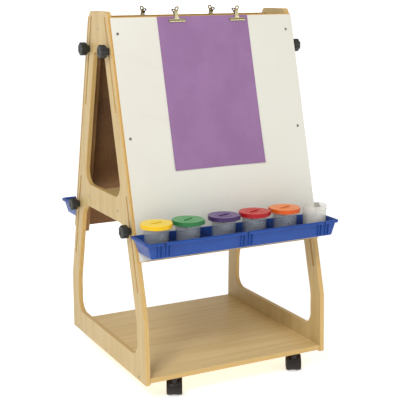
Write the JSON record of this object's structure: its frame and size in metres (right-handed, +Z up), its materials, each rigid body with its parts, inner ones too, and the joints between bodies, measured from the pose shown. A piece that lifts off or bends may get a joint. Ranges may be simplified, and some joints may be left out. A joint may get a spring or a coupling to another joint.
{
  "type": "easel",
  "caption": "Two-sided wooden painting easel on casters with height-adjustable white boards, hand knobs, paper clips, paint trays, lidded cups and storage shelves.",
  "frame": {"origin": "on the floor, in the middle of the easel", "axes": "+X across the boards to the right as seen from the front board, -Y out of the front board, +Z up"},
  "size_m": [0.6748, 0.718, 1.1344],
  "materials": {
    "birch_ply": "birch plywood, clear satin lacquer, rounded edges",
    "rail_wood": "solid birch, clear lacquer",
    "board_white": "white melamine face on brown hardboard",
    "cleat_wood": "stained hardwood, satin",
    "screw_steel": "zinc-plated",
    "bolt_steel": "zinc-plated",
    "knob_black": "moulded, fine texture",
    "caster_black": "moulded nylon",
    "wheel_black": "moulded nylon",
    "tray_blue": "moulded, satin",
    "cup_clear": "frosted translucent",
    "lid_yellow": "moulded, satin",
    "lid_green": "moulded, satin",
    "lid_purple": "moulded, satin",
    "lid_red": "moulded, satin",
    "lid_orange": "moulded, satin",
    "clip_nickel": "nickel-plated sheet steel",
    "sheet_purple": "construction paper, matte"
  },
  "bodies": {
    "frame": {"end_panel_left": "birch_ply", "end_panel_right": "birch_ply", "bottom_shelf": "birch_ply", "inner_shelf": "birch_ply", "top_rail": "rail_wood", "frame_screws": "screw_steel", "caster_stems": "bolt_steel", "caster_sockets": "bolt_steel"},
    "front_board_assembly": {"front_board": "board_white", "front_cleat_left": "cleat_wood", "front_cleat_right": "cleat_wood", "front_board_screws": "screw_steel", "front_knob_bolts": "bolt_steel", "front_tray": "tray_blue", "clip_front_left_back": "clip_nickel", "clip_front_left_spring": "bolt_steel", "clip_front_right_back": "clip_nickel", "clip_front_right_spring": "bolt_steel"},
    "knob_front_upper_left": {"knob_front_upper_left": "knob_black"},
    "knob_front_upper_right": {"knob_front_upper_right": "knob_black"},
    "knob_front_lower_left": {"knob_front_lower_left": "knob_black"},
    "knob_front_lower_right": {"knob_front_lower_right": "knob_black"},
    "clip_front_left_lever": {"clip_front_left_lever": "clip_nickel"},
    "clip_front_right_lever": {"clip_front_right_lever": "clip_nickel"},
    "rear_board_assembly": {"rear_board": "board_white", "rear_cleat_left": "cleat_wood", "rear_cleat_right": "cleat_wood", "rear_board_screws": "screw_steel", "rear_knob_bolts": "bolt_steel", "rear_tray": "tray_blue", "clip_rear_left_back": "clip_nickel", "clip_rear_left_spring": "bolt_steel", "clip_rear_right_back": "clip_nickel", "clip_rear_right_spring": "bolt_steel"},
    "knob_rear_upper_left": {"knob_rear_upper_left": "knob_black"},
    "knob_rear_upper_right": {"knob_rear_upper_right": "knob_black"},
    "knob_rear_lower_left": {"knob_rear_lower_left": "knob_black"},
    "knob_rear_lower_right": {"knob_rear_lower_right": "knob_black"},
    "clip_rear_left_lever": {"clip_rear_left_lever": "clip_nickel"},
    "clip_rear_right_lever": {"clip_rear_right_lever": "clip_nickel"},
    "caster_front_left": {"caster_front_left_housing": "caster_black"},
    "caster_front_left_wheel_pair": {"caster_front_left_wheels": "wheel_black"},
    "caster_front_right": {"caster_front_right_housing": "caster_black"},
    "caster_front_right_wheel_pair": {"caster_front_right_wheels": "wheel_black"},
    "caster_rear_left": {"caster_rear_left_housing": "caster_black"},
    "caster_rear_left_wheel_pair": {"caster_rear_left_wheels": "wheel_black"},
    "caster_rear_right": {"caster_rear_right_housing": "caster_black"},
    "caster_rear_right_wheel_pair": {"caster_rear_right_wheels": "wheel_black"},
    "cup_yellow": {"cup_yellow": "cup_clear"},
    "cup_green": {"cup_green": "cup_clear"},
    "cup_purple": {"cup_purple": "cup_clear"},
    "cup_red": {"cup_red": "cup_clear"},
    "cup_orange": {"cup_orange": "cup_clear"},
    "cup_open": {"cup_open": "cup_clear"},
    "lid_yellow": {"lid_yellow": "lid_yellow"},
    "lid_green": {"lid_green": "lid_green"},
    "lid_purple": {"lid_purple": "lid_purple"},
    "lid_red": {"lid_red": "lid_red"},
    "lid_orange": {"lid_orange": "lid_orange"},
    "drawing_sheet": {"drawing_sheet": "sheet_purple"}
  },
  "joints": [
    {"name": "front_board_height", "type": "slide", "parent": "frame", "child": "front_board_assembly", "axis": [0, 0.255, 0.9669], "range_m": [-0.175, 0.097]},
    {"name": "knob_front_upper_left_turn", "type": "hinge", "parent": "front_board_assembly", "child": "knob_front_upper_left", "pos_m": [-0.3084, -0.07846, 1.00769], "axis": [-1, 0, 0], "continuous": true},
    {"name": "knob_front_upper_right_turn", "type": "hinge", "parent": "front_board_assembly", "child": "knob_front_upper_right", "pos_m": [0.3084, -0.07846, 1.00769], "axis": [1, 0, 0], "continuous": true},
    {"name": "knob_front_lower_left_turn", "type": "hinge", "parent": "front_board_assembly", "child": "knob_front_lower_left", "pos_m": [-0.3084, -0.21182, 0.50198], "axis": [-1, 0, 0], "continuous": true},
    {"name": "knob_front_lower_right_turn", "type": "hinge", "parent": "front_board_assembly", "child": "knob_front_lower_right", "pos_m": [0.3084, -0.21182, 0.50198], "axis": [1, 0, 0], "continuous": true},
    {"name": "clip_front_left_open", "type": "hinge", "parent": "front_board_assembly", "child": "clip_front_left_lever", "pos_m": [-0.09, -0.07604, 1.11099], "axis": [-1, 0, 0], "range_deg": [0, 25], "stiffness_Nm_per_rad": 0.8, "springref_deg": -34.38},
    {"name": "clip_front_right_open", "type": "hinge", "parent": "front_board_assembly", "child": "clip_front_right_lever", "pos_m": [0.114, -0.07604, 1.11099], "axis": [-1, 0, 0], "range_deg": [0, 25], "stiffness_Nm_per_rad": 0.8, "springref_deg": -34.38},
    {"name": "rear_board_height", "type": "slide", "parent": "frame", "child": "rear_board_assembly", "axis": [0, -0.255, 0.9669], "range_m": [-0.175, 0.097]},
    {"name": "knob_rear_upper_left_turn", "type": "hinge", "parent": "rear_board_assembly", "child": "knob_rear_upper_left", "pos_m": [-0.3084, 0.07846, 1.00769], "axis": [-1, 0, 0], "continuous": true},
    {"name": "knob_rear_upper_right_turn", "type": "hinge", "parent": "rear_board_assembly", "child": "knob_rear_upper_right", "pos_m": [0.3084, 0.07846, 1.00769], "axis": [1, 0, 0], "continuous": true},
    {"name": "knob_rear_lower_left_turn", "type": "hinge", "parent": "rear_board_assembly", "child": "knob_rear_lower_left", "pos_m": [-0.3084, 0.21182, 0.50198], "axis": [-1, 0, 0], "continuous": true},
    {"name": "knob_rear_lower_right_turn", "type": "hinge", "parent": "rear_board_assembly", "child": "knob_rear_lower_right", "pos_m": [0.3084, 0.21182, 0.50198], "axis": [1, 0, 0], "continuous": true},
    {"name": "clip_rear_left_open", "type": "hinge", "parent": "rear_board_assembly", "child": "clip_rear_left_lever", "pos_m": [-0.13, 0.07604, 1.11099], "axis": [1, 0, 0], "range_deg": [0, 25], "stiffness_Nm_per_rad": 0.8, "springref_deg": -34.38},
    {"name": "clip_rear_right_open", "type": "hinge", "parent": "rear_board_assembly", "child": "clip_rear_right_lever", "pos_m": [0.107, 0.07604, 1.11099], "axis": [1, 0, 0], "range_deg": [0, 25], "stiffness_Nm_per_rad": 0.8, "springref_deg": -34.38},
    {"name": "caster_front_left_swivel", "type": "hinge", "parent": "frame", "child": "caster_front_left", "pos_m": [-0.208, -0.284, 0.06], "axis": [0, 0, 1], "continuous": true},
    {"name": "caster_front_left_roll", "type": "hinge", "parent": "caster_front_left", "child": "caster_front_left_wheel_pair", "pos_m": [-0.20011, -0.26782, 0.025], "axis": [0.8988, -0.4384, 0], "continuous": true},
    {"name": "caster_front_right_swivel", "type": "hinge", "parent": "frame", "child": "caster_front_right", "pos_m": [0.208, -0.284, 0.06], "axis": [0, 0, 1], "continuous": true},
    {"name": "caster_front_right_roll", "type": "hinge", "parent": "caster_front_right", "child": "caster_front_right_wheel_pair", "pos_m": [0.21589, -0.26782, 0.025], "axis": [0.8988, -0.4384, 0], "continuous": true},
    {"name": "caster_rear_left_swivel", "type": "hinge", "parent": "frame", "child": "caster_rear_left", "pos_m": [-0.208, 0.284, 0.06], "axis": [0, 0, 1], "continuous": true},
    {"name": "caster_rear_left_roll", "type": "hinge", "parent": "caster_rear_left", "child": "caster_rear_left_wheel_pair", "pos_m": [-0.20011, 0.30018, 0.025], "axis": [0.8988, -0.4384, 0], "continuous": true},
    {"name": "caster_rear_right_swivel", "type": "hinge", "parent": "frame", "child": "caster_rear_right", "pos_m": [0.208, 0.284, 0.06], "axis": [0, 0, 1], "continuous": true},
    {"name": "caster_rear_right_roll", "type": "hinge", "parent": "caster_rear_right", "child": "caster_rear_right_wheel_pair", "pos_m": [0.21589, 0.30018, 0.025], "axis": [0.8988, -0.4384, 0], "continuous": true},
    {"name": "cup_yellow_lift", "type": "slide", "parent": "front_board_assembly", "child": "cup_yellow", "axis": [0, 0, 1], "range_m": [0, 0.1]},
    {"name": "cup_green_lift", "type": "slide", "parent": "front_board_assembly", "child": "cup_green", "axis": [0, 0, 1], "range_m": [0, 0.1]},
    {"name": "cup_purple_lift", "type": "slide", "parent": "front_board_assembly", "child": "cup_purple", "axis": [0, 0, 1], "range_m": [0, 0.1]},
    {"name": "cup_red_lift", "type": "slide", "parent": "front_board_assembly", "child": "cup_red", "axis": [0, 0, 1], "range_m": [0, 0.1]},
    {"name": "cup_orange_lift", "type": "slide", "parent": "front_board_assembly", "child": "cup_orange", "axis": [0, 0, 1], "range_m": [0, 0.1]},
    {"name": "cup_open_lift", "type": "slide", "parent": "front_board_assembly", "child": "cup_open", "axis": [0, 0, 1], "range_m": [0, 0.1]},
    {"name": "lid_yellow_lift", "type": "slide", "parent": "cup_yellow", "child": "lid_yellow", "axis": [0, 0, 1], "range_m": [0, 0.05]},
    {"name": "lid_green_lift", "type": "slide", "parent": "cup_green", "child": "lid_green", "axis": [0, 0, 1], "range_m": [0, 0.05]},
    {"name": "lid_purple_lift", "type": "slide", "parent": "cup_purple", "child": "lid_purple", "axis": [0, 0, 1], "range_m": [0, 0.05]},
    {"name": "lid_red_lift", "type": "slide", "parent": "cup_red", "child": "lid_red", "axis": [0, 0, 1], "range_m": [0, 0.05]},
    {"name": "lid_orange_lift", "type": "slide", "parent": "cup_orange", "child": "lid_orange", "axis": [0, 0, 1], "range_m": [0, 0.05]},
    {"name": "drawing_sheet_pull", "type": "slide", "parent": "front_board_assembly", "child": "drawing_sheet", "axis": [0, -0.255, -0.9669], "range_m": [0, 0.15]}
  ]
}
